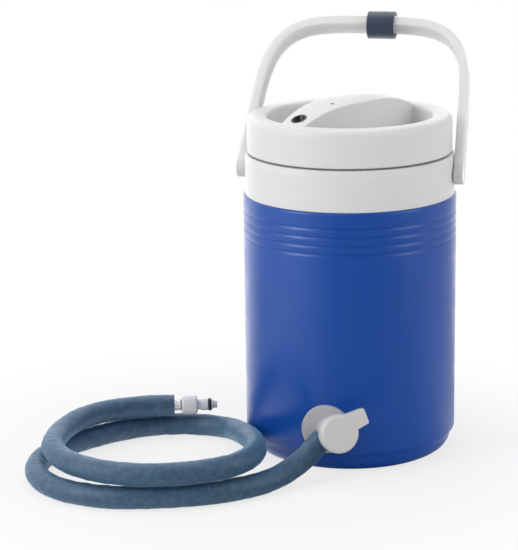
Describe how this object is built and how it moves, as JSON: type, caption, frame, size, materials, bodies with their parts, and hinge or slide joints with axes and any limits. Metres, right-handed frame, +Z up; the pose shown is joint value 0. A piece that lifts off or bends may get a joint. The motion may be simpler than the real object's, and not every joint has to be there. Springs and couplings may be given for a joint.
{
  "type": "hot and cold therapy machine",
  "caption": "Insulated round water jug with a screw lid that holds a pump, a swinging carry handle, a lever valve at its foot and a foam-covered hose ending in a coupling.",
  "frame": {"origin": "centre of the jug's base, on the surface that it stands on", "axes": "+Z up along the jug's axis, X along the handle's pivots, the valve on the -Y side"},
  "size_m": [0.3623, 0.3374, 0.3818],
  "materials": {
    "blue_plastic": "satin moulded, fine grain",
    "white_plastic": "satin moulded",
    "foam": "rigid closed-cell foam",
    "navy_plastic": "satin moulded",
    "hose_foam": "soft closed-cell foam, mottled",
    "clear_tube": "clear flexible tube",
    "seal_rubber": "matt",
    "black_rubber": "matt",
    "black_plastic": "satin moulded",
    "steel": "plain",
    "circuit_board": "lacquered board"
  },
  "bodies": {
    "jug": {"base_cap": "blue_plastic", "outer_jacket": "blue_plastic", "foam_insulation": "foam", "inner_liner": "white_plastic", "collar": "white_plastic", "handle_pins": "steel", "valve_body": "white_plastic", "wall_seal": "seal_rubber", "inner_seal": "seal_rubber", "bulkhead_nut": "white_plastic", "inlet_strainer": "white_plastic", "hose_sleeve": "hose_foam", "hose_tube": "clear_tube", "coupling_body": "white_plastic", "coupling_seal": "black_rubber", "coupling_spring": "steel"},
    "handle": {"handle": "white_plastic"},
    "hose_clip": {"hose_clip": "navy_plastic"},
    "valve_lever": {"valve_plug": "white_plastic", "plug_seals": "seal_rubber", "valve_knob": "white_plastic"},
    "lid_seal": {"lid_seal": "seal_rubber"},
    "lid": {"lid_shell": "white_plastic", "lid_base": "white_plastic", "lid_foam": "foam", "lid_screws": "steel", "power_jack": "black_plastic", "jack_pin": "steel", "air_vent": "black_plastic", "circuit_board": "circuit_board", "pump_bracket": "white_plastic", "pump_motor": "steel", "pump_rod": "white_plastic", "pump_diaphragm": "seal_rubber", "pump_head": "white_plastic", "outlet_valve": "black_rubber"},
    "crank": {"motor_crank": "steel"},
    "poppet": {"coupling_poppet": "white_plastic"}
  },
  "joints": [
    {"name": "handle_swing", "type": "hinge", "parent": "jug", "child": "handle", "pos_m": [0, 0, 0.252], "axis": [1, 0, 0], "range_deg": [-70, 150]},
    {"name": "clip_turn", "type": "hinge", "parent": "handle", "child": "hose_clip", "pos_m": [0.0105, 0.10081, 0.36921], "axis": [1, 0, 0], "range_deg": [-60, 60]},
    {"name": "valve_turn", "type": "hinge", "parent": "jug", "child": "valve_lever", "pos_m": [0.01082, -0.1173, 0.04643], "axis": [0.4852, -0.8577, 0.1702], "range_deg": [-90, 0]},
    {"name": "lid_lift", "type": "slide", "parent": "jug", "child": "lid_seal", "axis": [0, 0, 1], "range_m": [0, 0.055]},
    {"name": "lid_turn", "type": "hinge", "parent": "lid_seal", "child": "lid", "pos_m": [0, 0, 0.3], "axis": [0, 0, 1], "range_deg": [0, 270]},
    {"name": "crank_spin", "type": "hinge", "parent": "lid", "child": "crank", "pos_m": [0.00454, 0.00777, 0.294], "axis": [0.5045, 0.8634, 0], "continuous": true},
    {"name": "poppet_push", "type": "slide", "parent": "jug", "child": "poppet", "axis": [-0.9579, -0.287, 0], "range_m": [0, 0.0025], "stiffness_N_per_m": 400, "springref_m": -0.002}
  ]
}
